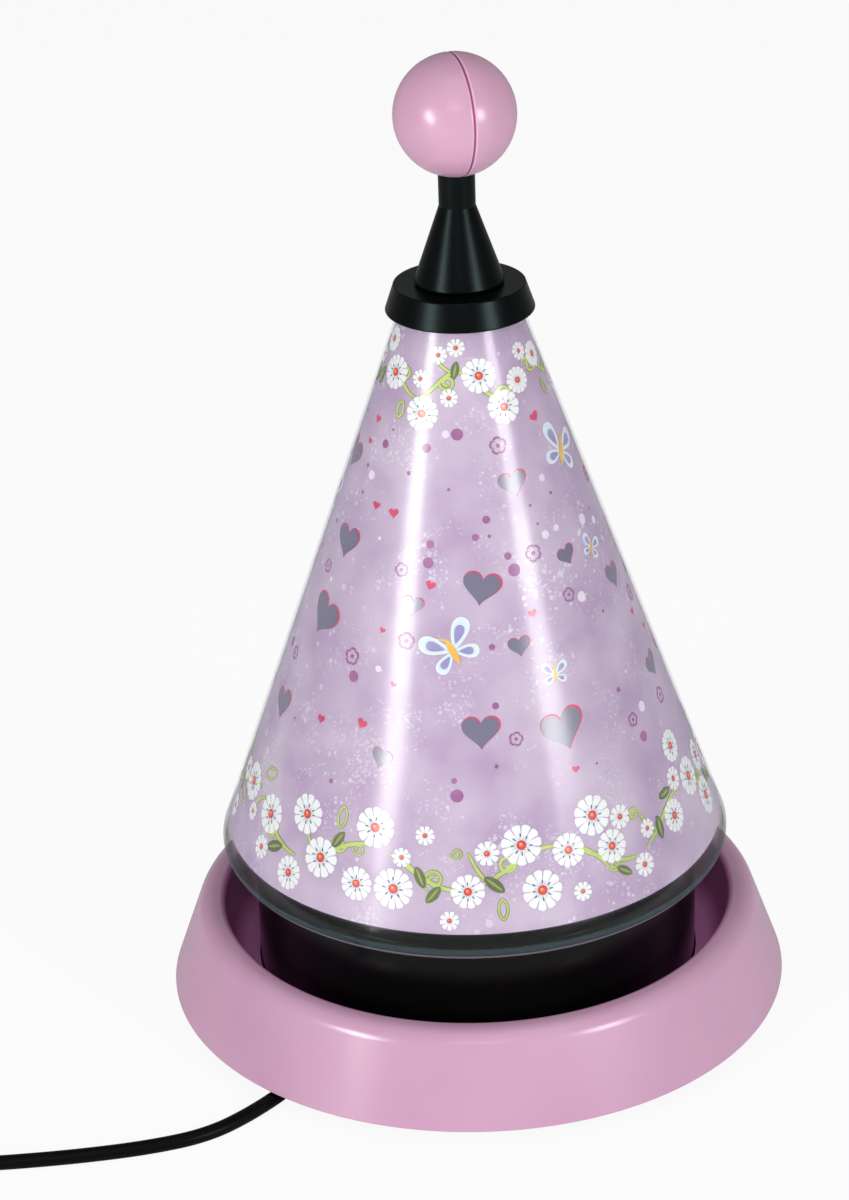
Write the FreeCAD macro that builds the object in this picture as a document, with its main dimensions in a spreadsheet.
# Rotating motion lamp: a bulb's warm air turns a vaned wheel that carries a printed cone of film,
# inside a clear cone that stands on a black drum in a pink ring.
#
# Frame: millimetres, +Z up, origin on the table at the middle of the ring. The front is -Y.
# Every driving dimension is a cell of the sheet "sizes", and each feature is bound to those cells.

import FreeCAD, Part
import math
import os
import re

import Sketcher

Vector = FreeCAD.Vector

doc = FreeCAD.newDocument("motion_lamp")
sheet = doc.addObject("Spreadsheet::Sheet", "sizes")

SIZES = [
    # the ring and what it stands on
    ("foot_height", 6.0, "rubber foot, table to the underside of the plate"),
    ("foot_radius", 7.0, "rubber foot at the table"),
    ("foot_waist", 5.8, "rubber foot where it meets the plate"),
    ("foot_step", 5.1, "feet stand this far outside the trough"),
    ("foot_circle", "=ring_floor_radius + foot_step", "feet stand on this radius"),
    ("foot_stud", 2.8, "stud of the foot in the plate"),
    ("foot_barb_step", 0.8, "barb wider than the stud"),
    ("foot_barb", "=foot_stud + foot_barb_step", "barb of the stud above the plate"),
    ("foot_barb_height", 1.4, "height of that barb"),
    ("foot_count", 4, "rubber feet"),
    ("ring_radius", 115.0, "outer edge of the ring at the bottom"),
    ("ring_height", 32.8, "bottom edge to lip"),
    ("ring_lean", 19.9, "lean of the outer face from upright, degrees"),
    ("ring_shoulder", 6.9, "rounding from the outer face to the lip"),
    ("ring_lip_flat", 1.29, "lip between its two roundings"),
    ("ring_lip_round", 3.0, "rounding from the lip to the inner wall"),
    (
        "ring_crown",
        "=ring_radius - (ring_height - ring_shoulder) * tan(ring_lean) - ring_shoulder / cos(ring_lean)",
        "middle of the shoulder's rounding",
    ),
    ("ring_lip_radius", "=ring_crown - ring_lip_flat - ring_lip_round", "inner wall just under the lip"),
    ("ring_draft", 1.1, "inner wall leans in by this much towards its foot"),
    ("ring_floor_radius", "=ring_lip_radius - ring_draft", "inner wall at the bottom of the trough"),
    ("ring_wall", 2.6, "wall of the ring"),
    ("web_height", 9.0, "bottom edge of the ring to the floor of the trough"),
    ("web_thickness", 2.0, "floor of the trough"),
    ("web_room", 0.6, "room between that floor and the drum"),
    ("boss_step", 3.0, "middle of a boss from the back of the inner wall"),
    ("boss_circle", "=ring_lip_radius + ring_wall + boss_step", "screw bosses of the ring"),
    ("boss_radius", 3.4, "screw boss"),
    ("boss_height", 28.5, "screw boss above the plate"),
    ("boss_depth", 13.0, "blind hole in the boss"),
    ("boss_turn", 22.5, "first boss, degrees from +X"),
    # the plate under the ring
    ("plate_room", 0.9, "room between the plate's edge and the ring"),
    (
        "plate_radius",
        "=ring_radius - ring_wall - plate_thickness * tan(ring_lean) - plate_room",
        "bottom plate",
    ),
    ("plate_thickness", 2.0, "bottom plate"),
    ("plate_rib_step", 1.0, "rib inside the edge of the drum's flange"),
    ("plate_rib_radius", "=drum_flange - plate_rib_step", "outer face of the rib that lifts the drum"),
    ("plate_rib_wall", 3.0, "that rib"),
    ("plate_slot_inner", 34.0, "air slots of the plate begin"),
    ("plate_slot_outer", 58.0, "air slots of the plate end"),
    ("plate_slot_width", 6.0, "air slot of the plate"),
    ("plate_slot_count", 16, "air slots of the plate"),
    # screws
    ("screw_shank", 1.45, "shank radius of every screw"),
    ("screw_fit", 0.08, "room round a shank in its hole"),
    ("screw_head", 3.0, "head radius of every screw"),
    ("screw_head_height", 1.6, "head of every screw"),
    # the drum
    ("trough_width", 7.9, "trough between the ring and the drum"),
    ("drum_radius", "=ring_floor_radius - trough_width", "black drum"),
    ("drum_wall", 2.0, "wall and deck of the drum"),
    ("drum_flange_room", 0.5, "room round the flange"),
    ("drum_flange", "=ring_floor_radius - drum_flange_room", "flange at the foot of the drum"),
    ("drum_flange_height", 2.4, "that flange"),
    ("deck_top", 61.5, "top of the drum's deck above the table"),
    ("deck_round", 1.4, "rounding of the deck's edge"),
    ("rim_step", 5.6, "rim inside the drum's face"),
    ("rim_radius", "=drum_radius - rim_step", "rim on the deck that centres the shade"),
    ("rim_wall", 1.8, "that rim"),
    ("rim_height", 4.5, "that rim above the deck"),
    ("vent_inner", 41.0, "air slots of the deck begin"),
    ("vent_step", 11.4, "air slots end this far inside the rim"),
    ("vent_outer", "=rim_radius - vent_step", "air slots of the deck end"),
    ("vent_width", 8.0, "air slot of the deck"),
    ("vent_count", 12, "air slots of the deck"),
    # the cord's way out
    ("cord_turn", -131.0, "direction in which the cord leaves, degrees from +X"),
    ("cord_radius", 2.6, "cord"),
    ("gland_reach", 5.0, "strain relief beyond the drum's face"),
    ("gland_out", "=drum_radius + gland_reach", "end of the strain relief from the middle"),
    ("gland_out_height", 5.8, "that end above the table"),
    ("gland_slope", 15.0, "fall of the strain relief, degrees"),
    ("gland_length", 26.0, "strain relief"),
    ("gland_collar", 3.8, "inner collar of the strain relief"),
    ("gland_collar_length", 2.4, "that collar"),
    ("gland_neck", 2.9, "neck in the tunnel's end wall"),
    ("gland_neck_length", 3.8, "that neck"),
    ("gland_fit", 0.35, "room round the neck and round the clamped lead"),
    ("gland_tail", 3.4, "thick end of the tail"),
    ("tunnel_inset", 16.6, "end wall of the tunnel inside the drum's face"),
    ("tunnel_start", "=drum_radius - tunnel_inset", "end wall of the tunnel from the middle"),
    ("tunnel_margin", 1.8, "mouth of the tunnel inside the plate's edge"),
    ("tunnel_end", "=plate_radius - tunnel_margin", "mouth of the tunnel"),
    ("tunnel_wall", 1.5, "roof and sides of the tunnel"),
    ("tunnel_width", 11.0, "tunnel across"),
    ("tunnel_slack", 2.5, "roof is level from this far inside the drum's face"),
    ("tunnel_knee", "=drum_radius - tunnel_slack", "roof is level beyond this"),
    ("tunnel_level", 11.1, "underside of the level roof above the table"),
    ("tunnel_high", 15.2, "underside of the roof at the end wall"),
    ("outlet_room", 0.4, "room between the tunnel and the drum"),
    ("lead_bend", 18.0, "bend of the lead inside the base"),
    ("lead_rise", 14.0, "lead inside the nipple"),
    ("clamp_place", 50.0, "cord clamp from the middle"),
    ("clamp_length", 7.0, "cord clamp along the lead"),
    ("clamp_ear", 4.0, "clamp beyond the middle of its screws"),
    ("clamp_bar", 3.0, "bar of the clamp over the lead"),
    ("clamp_room", 1.2, "room above and below the sloping lead"),
    ("clamp_screw_gap", 16.0, "clamp screws apart"),
    ("clamp_width", "=clamp_screw_gap + 2 * clamp_ear", "cord clamp across"),
    ("clamp_screw_bite", 6.0, "holes for them in the saddle"),
    # lamp holder and bulb
    ("nipple_radius", 5.0, "threaded nipple"),
    ("nipple_bore", 3.6, "bore of the nipple"),
    ("nipple_drop", 11.5, "nipple below the top of the deck"),
    ("nipple_bottom", "=deck_top - nipple_drop", "lower end of the nipple above the table"),
    ("nipple_rise", 5.0, "nipple above the deck"),
    ("nut_radius", 8.0, "lock nut across its corners, halved"),
    ("nut_height", 4.0, "lock nut"),
    ("holder_flange", 17.0, "foot of the lamp holder"),
    ("holder_flange_height", 3.0, "that foot"),
    ("holder_radius", 13.6, "body of the lamp holder"),
    ("holder_rib_step", 1.0, "grip ring proud of the holder"),
    ("holder_rib", "=holder_radius + holder_rib_step", "grip ring round the lamp holder"),
    ("holder_rib_height", 4.0, "that ring"),
    ("holder_height", "=sleeve_floor + contact_height + cap_height", "lamp holder above the deck"),
    ("cap_room", 0.1, "room round the bulb cap"),
    ("sleeve_radius", "=cap_radius + cap_room", "inside of the screw sleeve"),
    ("sleeve_wall", 0.5, "screw sleeve"),
    ("sleeve_floor", 12.0, "bottom of the sleeve above the deck"),
    ("contact_step", 1.05, "edge of the centre contact inside the sleeve"),
    ("contact_radius", "=sleeve_radius - contact_step", "centre contact of the holder"),
    ("contact_thickness", 0.8, "its disc"),
    ("contact_nub", 2.2, "its raised middle"),
    ("contact_height", 2.0, "centre contact of the holder"),
    ("cap_radius", 6.95, "bulb cap"),
    ("cap_height", 19.0, "bulb cap"),
    ("cap_tip", 3.0, "contact at the end of the cap"),
    ("bulb_radius", 22.5, "bulb glass"),
    ("bulb_wall", 0.8, "wall of the glass"),
    ("bulb_tangent", 25.0, "the neck leaves the globe here, degrees below its middle"),
    ("bulb_length", 78.0, "bulb from tip to top"),
    # the needle on its wire bow
    ("bow_reach", 33.0, "legs of the bow from the middle"),
    ("bow_wire", 1.25, "wire of the bow, radius"),
    ("bow_bend", 28.0, "bends of the bow"),
    ("bow_top", 188.0, "top wire of the bow above the table"),
    ("bow_drop", 5.5, "legs below the deck"),
    ("push_nut_radius", 4.5, "push nut on the leg"),
    ("push_nut_height", 1.0, "push nut"),
    ("ferrule_radius", 3.0, "ferrule on the bow"),
    ("ferrule_drop", 3.5, "ferrule below the top wire"),
    ("ferrule_rise", 5.5, "ferrule above the top wire"),
    ("needle_foot", 2.0, "foot of the needle above the wire's middle"),
    ("needle_radius", 0.9, "needle"),
    ("needle_reach", 18.0, "needle's point above the wire's middle"),
    ("needle_top", "=bow_top + needle_reach", "point of the needle above the table"),
    ("needle_point", 4.0, "sharpened length"),
    # the rotor
    ("wheel_hang", 5.5, "wheel's middle plane below the needle's point"),
    ("wheel_middle", "=needle_top - wheel_hang", "middle plane of the wheel above the table"),
    ("wheel_rim_height", 7.0, "rim of the wheel"),
    ("wheel_rim_wall", 1.6, "rim of the wheel"),
    ("hub_radius", 7.5, "hub of the wheel"),
    ("hub_drop", 3.0, "hub below the wheel's middle plane"),
    ("hub_cap", 1.2, "hub over the bearing cup"),
    ("cup_radius", 3.2, "bearing cup"),
    ("cup_rise", 1.0, "bearing cup above the foot of the hub"),
    ("cup_floor", 2.2, "bearing cup over the needle's point"),
    ("cup_mouth", 2.3, "mouth of the cone in the cup"),
    ("cup_seat", 0.3, "end of the cone in the cup"),
    ("needle_room", 0.1, "room over the needle's point"),
    ("blade_count", 12, "blades"),
    ("blade_thickness", 1.0, "blade"),
    ("blade_root", 7.4, "width of a blade at the hub"),
    ("blade_root_pitch", 52.0, "pitch at the hub, degrees"),
    ("blade_tip", 14.5, "width of a blade at the rim"),
    ("blade_tip_pitch", 27.0, "pitch at the rim, degrees"),
    ("film_thickness", 0.4, "printed film"),
    ("film_lift", 10.0, "film clear of the deck"),
    ("film_bottom", "=deck_top + film_lift", "lower edge of the film above the table"),
    ("film_drop", 4.5, "film ends below the shade's upper edge"),
    ("film_top", "=shade_top - film_drop", "upper edge of the film above the table"),
    ("film_room", 0.8, "room between the film and the shade"),
    # the clear shade
    ("shade_overhang", 4.0, "middle of the roll beyond the drum's face"),
    ("shade_foot", "=drum_radius + shade_overhang", "middle of the roll at the foot of the shade"),
    ("shade_roll", 4.5, "outer radius of that roll"),
    ("shade_top_radius", 20.42, "shade at its upper edge"),
    ("shade_rise", "=shade_top - deck_top - shade_roll", "middle of the roll to the upper edge"),
    ("shade_taper", "=shade_foot - shade_top_radius", "middle of the roll to the upper edge, inwards"),
    (
        "shade_lean",
        "=atan(shade_taper / shade_rise) + asin(shade_roll / sqrt(shade_rise^2 + shade_taper^2))",
        "lean of the shade from upright, degrees",
    ),
    ("shade_wall", 1.0, "wall of the shade"),
    ("shade_top", 272.0, "upper edge of the shade above the table"),
    ("shade_room", 0.5, "room between the shade's foot and the rim on the deck"),
    # collar, finial and ball
    ("collar_rise", 6.1, "top of the collar above the shade"),
    ("collar_top", "=shade_top + collar_rise", "top of the collar above the table"),
    ("collar_height", 9.7, "collar"),
    ("collar_air", 3.98, "gap for the air between the shade and the collar"),
    ("collar_radius", "=shade_top_radius + collar_air + collar_wall", "lower edge of the collar"),
    ("collar_flare", 3.3, "collar flares by this much"),
    ("collar_top_radius", "=collar_radius - collar_flare", "upper edge of the collar"),
    ("collar_wall", 1.8, "collar"),
    ("collar_round", 0.5, "rounding of the collar's edges"),
    ("collar_rib", 1.6, "rib under the collar"),
    ("collar_rib_reach", 3.92, "ribs reach inside the shade's edge"),
    ("collar_rib_inner", "=shade_top_radius - collar_rib_reach", "ribs begin"),
    ("collar_rib_drop", 2.6, "ribs below the shade's edge"),
    ("collar_rib_count", 6, "ribs under the collar"),
    ("collar_rib_room", 0.2, "room between the ribs and the shade"),
    ("finial_radius", 16.0, "foot of the finial"),
    ("finial_round", 1.1, "rounding of that foot"),
    ("finial_height", 27.6, "cone of the finial"),
    ("stem_radius", 6.35, "stem of the finial"),
    ("spigot_radius", 2.5, "spigot in the ball"),
    ("spigot_height", 9.0, "spigot above the foot of the ball"),
    ("spigot_room", 0.05, "room round the spigot"),
    ("finial_screw_depth", 12.0, "screw in the finial"),
    ("ball_radius", 21.05, "ball"),
    ("ball_wall", 2.2, "wall of the ball"),
    ("ball_boss", 5.0, "boss in the ball round the spigot"),
    ("stem_length", 11.63, "stem from the cone to the ball"),
    (
        "ball_middle",
        "=collar_top + finial_height + stem_length + sqrt(ball_radius^2 - stem_radius^2)",
        "middle of the ball above the table",
    ),
    ("ball_seam_turn", -71.4, "direction of the seam, degrees from +X"),
    ("ball_seam", 0.45, "chamfer along the seam"),
    # the switch in the cord
    ("switch_x", -233.0, "middle of the switch"),
    ("switch_y", -121.5, "middle of the switch"),
    ("switch_length", 60.0, "switch along the cord"),
    ("switch_width", 26.0, "switch across"),
    ("switch_corner", 8.0, "corners of the switch"),
    ("switch_split", 6.5, "lower shell"),
    ("switch_height", 15.0, "both shells"),
    ("switch_wall", 2.0, "wall of the shells"),
    ("switch_end", 9.0, "solid end of the shells round the cord"),
    ("switch_edge", 1.6, "rounding of the shells"),
    ("window_length", 22.4, "window for the rocker"),
    ("window_width", 11.0, "window for the rocker"),
    ("rocker_end_room", 1.5, "room at the ends of the rocker"),
    ("rocker_length", "=window_length - 2 * rocker_end_room", "rocker"),
    ("rocker_side_room", 0.4, "room beside the rocker"),
    ("rocker_width", "=window_width - 2 * rocker_side_room", "rocker"),
    ("rocker_throw", 14.0, "swing of the rocker, degrees"),
    ("rocker_crown", 5.4, "rocker above its pin at the ends"),
    ("rocker_skirt", 3.2, "rocker below its pin"),
    ("pin_depth", 4.4, "rocker pin below the top of the switch"),
    ("pin_height", "=switch_height - pin_depth", "rocker pin above the table"),
    ("pin_radius", 1.2, "rocker pin"),
    ("pin_fit", 0.05, "room round the pin"),
    ("pin_margin", 0.1, "pin ends inside the lugs"),
    ("pin_length", "=2 * lug_far - 2 * pin_margin", "rocker pin"),
    ("lug_length", 5.0, "lugs that carry the pin"),
    ("lug_margin", 0.1, "lugs beyond the side of the window"),
    ("lug_near", "=window_width / 2 + lug_margin", "lugs from the switch's middle"),
    ("lug_wall", 2.0, "lugs"),
    ("lug_far", "=lug_near + lug_wall", "outer face of the lugs"),
    ("lug_drop", 2.0, "lugs below the pin's middle"),
    ("lug_low", "=pin_height - lug_drop", "lower face of the lugs above the table"),
    ("switch_screw_end", 4.5, "screws of the switch from its ends"),
    ("switch_screw_x", "=switch_length / 2 - switch_screw_end", "screws of the switch from its middle"),
    ("switch_screw_side", 6.0, "screws of the switch from its sides"),
    ("switch_screw_y", "=switch_width / 2 - switch_screw_side", "screws of the switch from its middle"),
    ("switch_sink", 1.9, "depth of the recess for a screw's head"),
    ("switch_screw_bite", 4.0, "these screws in the upper shell"),
    ("switch_screw_tip", "=switch_split + switch_screw_bite", "tip of these screws above the table"),
    ("switch_hole_room", 1.0, "their holes beyond the tips"),
    ("switch_hole_top", "=switch_screw_tip + switch_hole_room", "end of their holes above the table"),
    # the coil and the plug
    ("cord_dip", 0.6, "cord a little lower a short way before the plug"),
    ("coil_x", -275.0, "middle of the coil"),
    ("coil_y", -62.0, "middle of the coil"),
    ("coil_radius", 28.5, "coil at the middle of its turns"),
    ("coil_width", 16.2, "coil across its turns"),
    ("coil_height", 14.2, "coil"),
    ("coil_round", 4.5, "rounding of the coil"),
    ("tie_width", 4.0, "tie round the coil"),
    ("tie_thickness", 0.8, "tie round the coil"),
    ("tie_room", 0.2, "room beside the tie"),
    ("tie_turn", 35.0, "tie round the coil, degrees from +X"),
    ("plug_x", -243.5, "cord end of the plug"),
    ("plug_y", 24.0, "cord end of the plug"),
    ("plug_tail", 16.0, "tapered tail of the plug"),
    ("plug_tail_width", 9.0, "tail of the plug at the cord"),
    ("plug_neck_width", 16.0, "plug where the tail meets the grip"),
    ("plug_neck_height", 11.0, "plug where the tail meets the grip"),
    ("plug_grip", 12.0, "flaring grip of the plug"),
    ("plug_front", 13.0, "straight front of the plug"),
    ("plug_width", 35.3, "plug across"),
    ("plug_height", 13.7, "plug thickness"),
    ("plug_corner", 3.0, "corners of the plug"),
    ("plug_pin_radius", 2.0, "plug pin"),
    ("plug_pin_length", 19.0, "plug pin"),
    ("plug_pin_gap", 18.0, "plug pins apart"),
]

for row, (alias, amount, note) in enumerate(SIZES, start=1):
    sheet.set(f"A{row}", alias)
    sheet.set(f"B{row}", str(amount))
    sheet.set(f"C{row}", note)
    sheet.setAlias(f"B{row}", alias)
doc.recompute()

ALIASES = {alias for alias, _, _ in SIZES}
subparts = []


# ---- helpers ---------------------------------------------------------------------------------


def formula(text):
    """Write a rule in the sheet's aliases as a FreeCAD expression."""
    return re.sub(r"[a-z_]+", lambda word: f"sizes.{word[0]}" if word[0] in ALIASES else word[0], text)


def number(text):
    """The present value of such a rule."""
    return float(sheet.evalExpression(formula(text)))


def bind(thing, path, text):
    thing.setExpression(path, formula(text))


def origin_part(body, role):
    return next(f for f in body.Origin.OriginFeatures if f.Role == role)


def new_body(name):
    body = doc.addObject("PartDesign::Body", name)
    body.Label = name
    subparts.append(body)
    return body


def new_sketch(body, name, plane="XZ_Plane", aside=None, up=None, out=None, turn=None, swing=None):
    """A sketch on an origin plane, moved along its own x, y and normal.

    turn turns it about its normal, and swing turns an upright plane about Z.
    """
    sketch = body.newObject("Sketcher::SketchObject", f"{body.Name}_{name}")
    sketch.AttachmentSupport = (origin_part(body, plane), [""])
    sketch.MapMode = "FlatFace"
    for axis, text in (("x", aside), ("y", up), ("z", out)):
        if text:
            bind(sketch, f"AttachmentOffset.Base.{axis}", text)
    if turn or swing:
        axis = Vector(0, 0, 1) if turn else Vector(0, 1, 0)
        angle = turn or swing
        sketch.AttachmentOffset = FreeCAD.Placement(Vector(), FreeCAD.Rotation(axis, number(angle)))
        bind(sketch, "AttachmentOffset.Rotation.Angle", angle)
    return sketch


def fix_point(sketch, edge, end, x_text, y_text):
    """Hold a point of the sketch at two rules; a rule of 0 puts it on the axis."""
    for kind, text, axis in (("DistanceX", x_text, -2), ("DistanceY", y_text, -1)):
        if text == "0":
            sketch.addConstraint(Sketcher.Constraint("PointOnObject", edge, end, axis))
            continue
        index = sketch.addConstraint(Sketcher.Constraint(kind, -1, 1, edge, end, number(text)))
        sketch.setExpression(f"Constraints[{index}]", formula(text))


def arc_between(start, end, radius, side):
    """The short arc from start to end; side is 1 with its middle on the left, -1 on the right."""
    chord = end - start
    rise = math.sqrt(max(radius * radius - chord.Length**2 / 4, 0.0))
    across = Vector(-chord.y, chord.x, 0).normalize() * (rise * side)
    middle = (start + end) * 0.5 + across
    angles = [math.atan2(p.y - middle.y, p.x - middle.x) for p in (start, end)]
    if side < 0:
        angles.reverse()
    return Part.ArcOfCircle(Part.Circle(middle, Vector(0, 0, 1), radius), *angles)


def draw(sketch, points, closed=True):
    """Join points by lines, and by an arc after a point that also gives a radius and a side."""
    places = [Vector(number(p[0]), number(p[1]), 0) for p in points]
    count = len(points) if closed else len(points) - 1
    ends = []
    for i in range(count):
        start, end = places[i], places[(i + 1) % len(points)]
        if len(points[i]) == 4:
            side = points[i][3]
            edge = sketch.addGeometry(arc_between(start, end, number(points[i][2]), side), False)
            ends.append((edge, 1, 2) if side > 0 else (edge, 2, 1))
        else:
            edge = sketch.addGeometry(Part.LineSegment(start, end), False)
            ends.append((edge, 1, 2))
    for i in range(count if closed else count - 1):
        here, after = ends[i], ends[(i + 1) % count]
        sketch.addConstraint(Sketcher.Constraint("Coincident", here[0], here[2], after[0], after[1]))
    for i in range(count):
        fix_point(sketch, ends[i][0], ends[i][1], points[i][0], points[i][1])
        if len(points[i]) == 4:
            index = sketch.addConstraint(Sketcher.Constraint("Radius", ends[i][0], number(points[i][2])))
            sketch.setExpression(f"Constraints[{index}]", formula(points[i][2]))
    if not closed:
        fix_point(sketch, ends[-1][0], ends[-1][2], points[-1][0], points[-1][1])


def draw_circle(sketch, x_text, y_text, radius):
    place = Vector(number(x_text), number(y_text), 0)
    edge = sketch.addGeometry(Part.Circle(place, Vector(0, 0, 1), number(radius)), False)
    fix_point(sketch, edge, 3, x_text, y_text)
    index = sketch.addConstraint(Sketcher.Constraint("Radius", edge, number(radius)))
    sketch.setExpression(f"Constraints[{index}]", formula(radius))


def box_points(left, right, low, high):
    return [(left, low), (right, low), (right, high), (left, high)]


def slot_points(begin, end, width):
    """A slot along x with round ends, as lines and quarter arcs."""
    half = f"{width} / 2"
    return [
        (f"{begin} + {half}", f"-{half}"),
        (f"{end} - {half}", f"-{half}", half, 1),
        (end, "0", half, 1),
        (f"{end} - {half}", half),
        (f"{begin} + {half}", half, half, 1),
        (begin, "0", half, 1),
    ]


def rounded_box_points(half_x, half_y, corner):
    """A box about the sketch's origin with round corners."""
    x, y, r = half_x, half_y, corner
    return [
        (f"-{x} + {r}", f"-{y}"),
        (f"{x} - {r}", f"-{y}", r, 1),
        (x, f"-{y} + {r}"),
        (x, f"{y} - {r}", r, 1),
        (f"{x} - {r}", y),
        (f"-{x} + {r}", y, r, 1),
        (f"-{x}", f"{y} - {r}"),
        (f"-{x}", f"-{y} + {r}", r, 1),
    ]


def revolve(body, name, points, angle=360.0, groove=False, axis="V_Axis", **where):
    kind = "PartDesign::Groove" if groove else "PartDesign::Revolution"
    sketch = new_sketch(body, f"{name}_outline", **where)
    draw(sketch, points)
    feature = body.newObject(kind, f"{body.Name}_{name}")
    feature.Profile = sketch
    feature.ReferenceAxis = (sketch, [axis])
    feature.Angle = angle
    doc.recompute()
    return feature


def extrude(body, name, shapes, length, cut=False, middle=False, flip=False, plane="XY_Plane", **where):
    """Pad or pocket of closed shapes: lists of points, or circles as (x, y, radius) in a tuple."""
    sketch = new_sketch(body, f"{name}_outline", plane=plane, **where)
    for shape in shapes:
        if isinstance(shape, tuple):
            draw_circle(sketch, *shape)
        else:
            draw(sketch, shape)
    feature = body.newObject("PartDesign::Pocket" if cut else "PartDesign::Pad", f"{body.Name}_{name}")
    feature.Profile = sketch
    bind(feature, "Length", length)
    feature.Midplane = middle
    feature.Reversed = flip
    doc.recompute()
    return feature


def pattern(body, name, feature, count):
    """Repeat a feature about the body's Z axis."""
    copies = body.newObject("PartDesign::PolarPattern", f"{body.Name}_{name}")
    copies.Originals = [feature]
    copies.Axis = (origin_part(body, "Z_Axis"), [""])
    copies.Angle = 360
    bind(copies, "Occurrences", count)
    body.Tip = copies
    doc.recompute()
    return copies


def edges_where(feature, test):
    return [f"Edge{i}" for i, edge in enumerate(feature.Shape.Edges, start=1) if test(edge)]


def soften(body, name, feature, test, size, chamfer=False):
    """Fillet or chamfer the edges that pass a test."""
    kind = "PartDesign::Chamfer" if chamfer else "PartDesign::Fillet"
    rounded = body.newObject(kind, f"{body.Name}_{name}")
    rounded.Base = (feature, edges_where(feature, test))
    bind(rounded, "Size" if chamfer else "Radius", size)
    doc.recompute()
    return rounded


def ring_edge(radius, height):
    """A test for a full circle about Z at a radius and a height."""
    near = 0.01

    def test(edge):
        curve = edge.Curve
        return (
            isinstance(curve, Part.Circle)
            and abs(curve.Radius - number(radius)) < near
            and abs(curve.Center.z - number(height)) < near
        )

    return test


def place(body, x=None, y=None, z=None, turn=None, about=(0, 0, 1)):
    if turn:
        body.Placement = FreeCAD.Placement(Vector(), FreeCAD.Rotation(Vector(*about), number(turn)))
        bind(body, "Placement.Rotation.Angle", turn)
    for axis, text in (("x", x), ("y", y), ("z", z)):
        if text:
            bind(body, f"Placement.Base.{axis}", text)


def screw_points(head_low, tip):
    """Outline of a screw that points up, beside its axis."""
    head_top = f"{head_low} + screw_head_height"
    return [
        ("0", head_low),
        ("screw_head", head_low),
        ("screw_head", head_top),
        ("screw_shank", head_top),
        ("screw_shank", f"{tip} - screw_shank"),
        ("0", tip),
    ]


# ---- heights and faces that several pieces share ----------------------------------------------

PLATE_TOP = "foot_height + plate_thickness"
LIP = "foot_height + ring_height"
TROUGH = "foot_height + web_height"
WEB_UNDER = f"{TROUGH} - web_thickness"
FLANGE_UNDER = f"{WEB_UNDER} - drum_flange_height"
DECK_UNDER = "deck_top - drum_wall"
HOLDER_FLOOR = "deck_top + sleeve_floor"
BULB_TIP = f"{HOLDER_FLOOR} + contact_height"
CAP_TOP = f"{BULB_TIP} + cap_height"
BOW_LOW = "deck_top - drum_wall - bow_drop"
HUB_LOW = "wheel_middle - hub_drop"
CUP_TOP = "needle_top + needle_room + cup_floor"
FINIAL_TOP = "collar_top + finial_height"
GLAND_IN = "(gland_out - gland_length * cos(gland_slope))"
GLAND_IN_HEIGHT = "(gland_out_height + gland_length * sin(gland_slope))"


def shade_face(height, inset="0"):
    """Radius of the shade's cone at a height, or of a face inside it."""
    return (
        f"(shade_foot + (shade_roll - ({inset})) / cos(shade_lean)"
        f" - ({height} - deck_top - shade_roll) * tan(shade_lean))"
    )


def lead_height(reach):
    """Height of the sloping lead at a distance from the middle."""
    return f"({GLAND_IN_HEIGHT} + ({GLAND_IN} - {reach}) * tan(gland_slope))"


FILM_OUTSIDE = "shade_wall + film_room"
FILM_INSIDE = "shade_wall + film_room + film_thickness"


# ---- the ring, the plate and the drum -----------------------------------------------------------


def make_base_ring():
    """Pink moulding: leaning outer face, round lip, inner wall and the floor of the trough."""
    body = new_body("base_ring")
    above = "ring_height - ring_shoulder"
    shoulder = f"(ring_radius - ({above}) * tan(ring_lean) - ring_shoulder / cos(ring_lean))"
    face_end = f"foot_height + {above} + ring_shoulder * sin(ring_lean)"
    revolve(
        body,
        "wall",
        [
            ("ring_radius", "foot_height"),
            (f"{shoulder} + ring_shoulder * cos(ring_lean)", face_end, "ring_shoulder", 1),
            (shoulder, LIP),
            ("ring_lip_radius + ring_lip_round", LIP, "ring_lip_round", 1),
            ("ring_lip_radius", f"{LIP} - ring_lip_round"),
            ("ring_floor_radius", TROUGH),
            ("drum_radius + web_room", TROUGH),
            ("drum_radius + web_room", WEB_UNDER),
            ("ring_floor_radius + ring_wall", WEB_UNDER),
            ("ring_lip_radius + ring_wall", f"{LIP} - ring_shoulder"),
            ("ring_lip_radius + ring_lip_round", f"{LIP} - ring_wall"),
            (shoulder, f"{LIP} - ring_wall"),
            (f"{shoulder} + ring_shoulder * cos(ring_lean) - ring_wall", face_end),
            ("ring_radius - ring_wall", "foot_height"),
        ],
    )
    boss = extrude(
        body, "boss", [("boss_circle", "0", "boss_radius")], "boss_height", out=PLATE_TOP, turn="boss_turn"
    )
    pattern(body, "bosses", boss, "foot_count")
    hole = extrude(
        body,
        "boss_hole",
        [("boss_circle", "0", "screw_shank + screw_fit")],
        "boss_depth",
        cut=True,
        flip=True,
        out=PLATE_TOP,
        turn="boss_turn",
    )
    pattern(body, "boss_holes", hole, "foot_count")


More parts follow.
